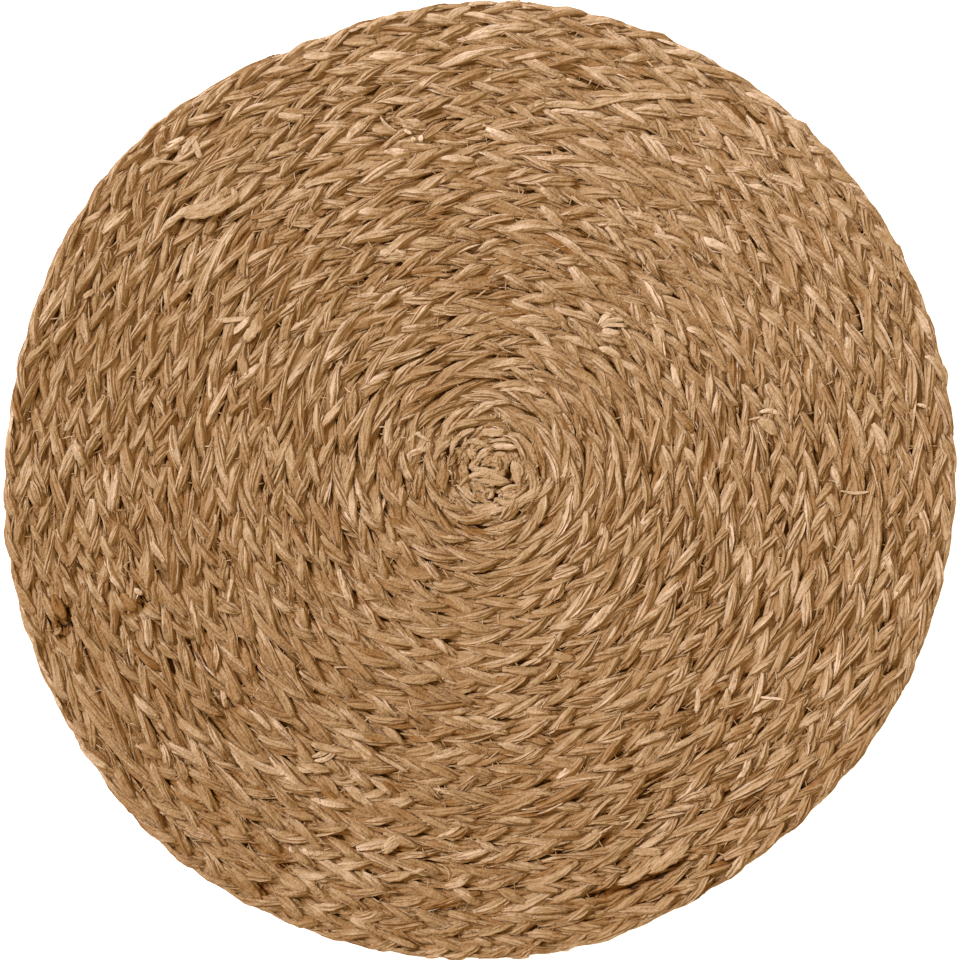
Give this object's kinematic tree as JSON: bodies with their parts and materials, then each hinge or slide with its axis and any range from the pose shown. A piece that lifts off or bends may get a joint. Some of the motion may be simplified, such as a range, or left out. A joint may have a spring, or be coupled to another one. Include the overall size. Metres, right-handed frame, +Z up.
{
  "type": "round plaited straw placemat",
  "caption": "Round flat table mat: one plait of dried leaf wound in a spiral and sewn edge to edge, with a flat underside.",
  "frame": {"origin": "centre of the mat's outline, on the flat underside it rests on", "axes": "+Z up out of the mat's upper face, +Y towards the edge that is uppermost when the mat is seen from above, +X to the right"},
  "size_m": [0.379, 0.381, 0.006],
  "materials": {
    "straw": "matt plaited dried leaf with fine lengthwise fibres"
  },
  "bodies": {
    "root": {"plait_mat": "straw"}
  },
  "joints": []
}
